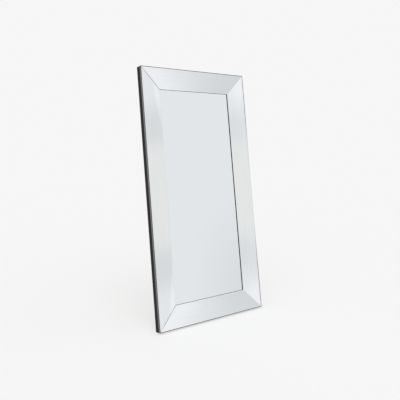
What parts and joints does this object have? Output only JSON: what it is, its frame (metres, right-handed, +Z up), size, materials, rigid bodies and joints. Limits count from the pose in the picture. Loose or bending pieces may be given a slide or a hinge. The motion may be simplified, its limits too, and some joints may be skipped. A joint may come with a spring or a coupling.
{
  "type": "leaning floor mirror",
  "caption": "Tall rectangular mirror that stands on the floor and leans on a wall, with a wide dished frame faced in brushed silver sheet and D ring hangers behind.",
  "frame": {"origin": "on the floor, under the middle of the leaning mirror's bounding box", "axes": "+X to the right as seen from in front, +Y back towards the wall that the mirror leans on, +Z up. The mirror faces -Y and leans back 7.7 degrees from upright"},
  "size_m": [0.79, 0.261, 1.5601],
  "materials": {
    "black_wood": "satin",
    "brushed_silver": "satin",
    "pewter_trim": "satin",
    "zinc_steel": "satin",
    "silvered_glass": "polished",
    "rubber": "matte",
    "foam": "matte",
    "brown_hardboard": "matte"
  },
  "bodies": {
    "mirror": {"left_moulding": "black_wood", "left_face_sheet": "brushed_silver", "left_edge_trim": "pewter_trim", "right_moulding": "black_wood", "right_face_sheet": "brushed_silver", "right_edge_trim": "pewter_trim", "top_moulding": "black_wood", "top_face_sheet": "brushed_silver", "top_edge_trim": "pewter_trim", "bottom_moulding": "black_wood", "bottom_face_sheet": "brushed_silver", "bottom_edge_trim": "pewter_trim", "top_left_brace": "zinc_steel", "top_right_brace": "zinc_steel", "bottom_left_brace": "zinc_steel", "bottom_right_brace": "zinc_steel", "left_hanger_strap": "zinc_steel", "right_hanger_strap": "zinc_steel", "mirror_glass": "silvered_glass", "glass_cushion_tape": "rubber", "glass_spacer_blocks": "rubber", "foam_sheet": "foam", "back_panel": "brown_hardboard", "back_panel_points": "zinc_steel", "mitre_v_nails": "zinc_steel", "brace_screws": "zinc_steel", "hanger_screws": "zinc_steel", "wall_bumpers": "rubber", "floor_pads": "rubber"},
    "left_ring": {"left_hanger_ring": "zinc_steel"},
    "right_ring": {"right_hanger_ring": "zinc_steel"}
  },
  "joints": [
    {"name": "left_ring_swing", "type": "hinge", "parent": "mirror", "child": "left_ring", "pos_m": [-0.355, 0.08297, 1.21364], "axis": [1, 0, 0], "range_deg": [-3.8, 175]},
    {"name": "right_ring_swing", "type": "hinge", "parent": "mirror", "child": "right_ring", "pos_m": [0.355, 0.08297, 1.21364], "axis": [1, 0, 0], "range_deg": [-3.8, 175]}
  ]
}
